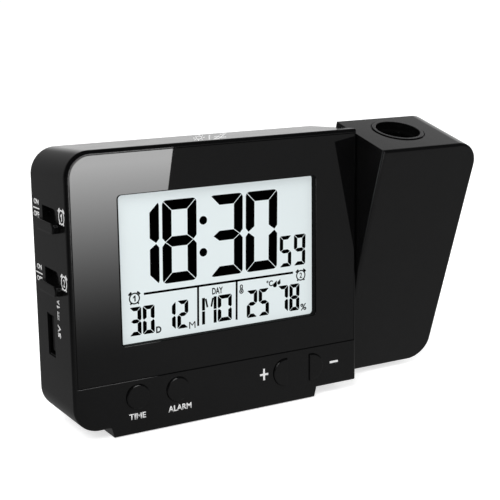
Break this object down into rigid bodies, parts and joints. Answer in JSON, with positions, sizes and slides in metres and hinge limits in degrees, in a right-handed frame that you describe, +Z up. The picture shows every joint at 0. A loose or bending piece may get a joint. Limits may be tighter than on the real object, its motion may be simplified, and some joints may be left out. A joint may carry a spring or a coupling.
{
  "type": "projection alarm clock",
  "caption": "Slab-shaped desk clock with a display in a gloss front panel, a button strip, side alarm switches, a charging port and a tilting arm that projects through a focusing lens.",
  "frame": {"origin": "middle of the underside of the foot pad, on the surface that the clock stands on", "axes": "+X to the right as the display is read, along the clock's length; +Y from the display to the back; +Z up"},
  "size_m": [0.1493, 0.0551, 0.0932],
  "materials": {
    "front_plastic": "gloss black moulding",
    "case_plastic": "fine satin black moulding",
    "key_plastic": "satin black keys and knobs",
    "arm_plastic": "satin black moulding",
    "ring_plastic": "gloss black",
    "gloss_panel": "high gloss black sheet",
    "adhesive": "thin black adhesive tape",
    "display": "lit display ground",
    "white_plastic": "white moulding",
    "rubber": "soft black",
    "led": "white lamp with yellow phosphor",
    "circuit_board": "green laminate",
    "chip": "dull black resin",
    "steel": "plated steel",
    "brass": "plated brass",
    "cell_jacket": "plain blue cell jacket",
    "optic_glass": "clear lens",
    "aluminium": "extruded"
  },
  "bodies": {
    "case": {"front_frame": "front_plastic", "rear_case": "case_plastic", "foot_pad": "rubber", "front_panel": "gloss_panel", "panel_tape": "adhesive", "lcd_glass": "display", "lcd_light_guide": "white_plastic", "lcd_holder": "white_plastic", "lcd_connector": "rubber", "backlight_leds": "led", "main_board": "circuit_board", "clock_chip": "chip", "board_screws": "steel", "button_switches": "chip", "slide_switches": "steel", "side_board": "circuit_board", "usb_shell": "steel", "usb_tongue": "chip", "usb_contacts": "brass", "power_socket": "chip", "power_pin": "steel", "battery_cells": "cell_jacket", "battery_contacts": "steel", "speaker": "chip", "touch_plate": "brass", "air_sensor": "circuit_board", "case_screws": "steel", "pivot_bush": "white_plastic"},
    "arm": {"arm_housing": "arm_plastic", "arm_cover": "arm_plastic", "cover_screws": "steel", "pivot_axle": "arm_plastic", "axle_screws": "steel", "spring_washer": "steel", "retaining_clip": "steel", "projector_tube": "chip", "projector_screws": "steel", "projection_lcd": "optic_glass", "condenser_lens": "optic_glass", "led_board": "circuit_board", "projector_led": "led", "heat_sink": "aluminium"},
    "focus_ring": {"focus_ring": "ring_plastic"},
    "lens_barrel": {"lens_barrel": "ring_plastic", "front_element": "optic_glass", "rear_element": "optic_glass"},
    "time_button": {"time_button": "key_plastic"},
    "alarm_button": {"alarm_button": "key_plastic"},
    "plus_button": {"plus_button": "key_plastic"},
    "minus_button": {"minus_button": "key_plastic"},
    "alarm_1_knob": {"alarm_1_knob": "key_plastic"},
    "alarm_2_knob": {"alarm_2_knob": "key_plastic"},
    "battery_door": {"battery_door": "case_plastic"}
  },
  "joints": [
    {"name": "arm_tilt", "type": "hinge", "parent": "case", "child": "arm", "pos_m": [0.0555, 0, 0.043], "axis": [1, 0, 0], "range_deg": [-108.4, 71.6]},
    {"name": "focus_travel", "type": "slide", "parent": "arm", "child": "lens_barrel", "axis": [0, -0.2571, 0.9664], "range_m": [-0.0012, 0.0012]},
    {"name": "focus_turn", "type": "hinge", "parent": "arm", "child": "focus_ring", "pos_m": [0.0728, -0.01349, 0.09004], "axis": [0, -0.2571, 0.9664], "range_deg": [-91, 91]},
    {"name": "time_press", "type": "slide", "parent": "case", "child": "time_button", "axis": [0, 1, 0], "range_m": [0, 0.0006], "stiffness_N_per_m": 800},
    {"name": "alarm_press", "type": "slide", "parent": "case", "child": "alarm_button", "axis": [0, 1, 0], "range_m": [0, 0.0006], "stiffness_N_per_m": 800},
    {"name": "plus_press", "type": "slide", "parent": "case", "child": "plus_button", "axis": [0, 1, 0], "range_m": [0, 0.0006], "stiffness_N_per_m": 800},
    {"name": "minus_press", "type": "slide", "parent": "case", "child": "minus_button", "axis": [0, 1, 0], "range_m": [0, 0.0006], "stiffness_N_per_m": 800},
    {"name": "alarm_1_slide", "type": "slide", "parent": "case", "child": "alarm_1_knob", "axis": [0, 0, 1], "range_m": [0, 0.0036]},
    {"name": "alarm_2_slide", "type": "slide", "parent": "case", "child": "alarm_2_knob", "axis": [0, 0, 1], "range_m": [0, 0.0036]},
    {"name": "battery_door_open", "type": "hinge", "parent": "case", "child": "battery_door", "pos_m": [-0.0025, 0.0145, 0.02635], "axis": [-1, 0, 0], "range_deg": [0, 75]}
  ],
  "couplings": [
    {"joint": "focus_turn", "follows": "focus_travel", "rad_per_m": 1309}
  ]
}
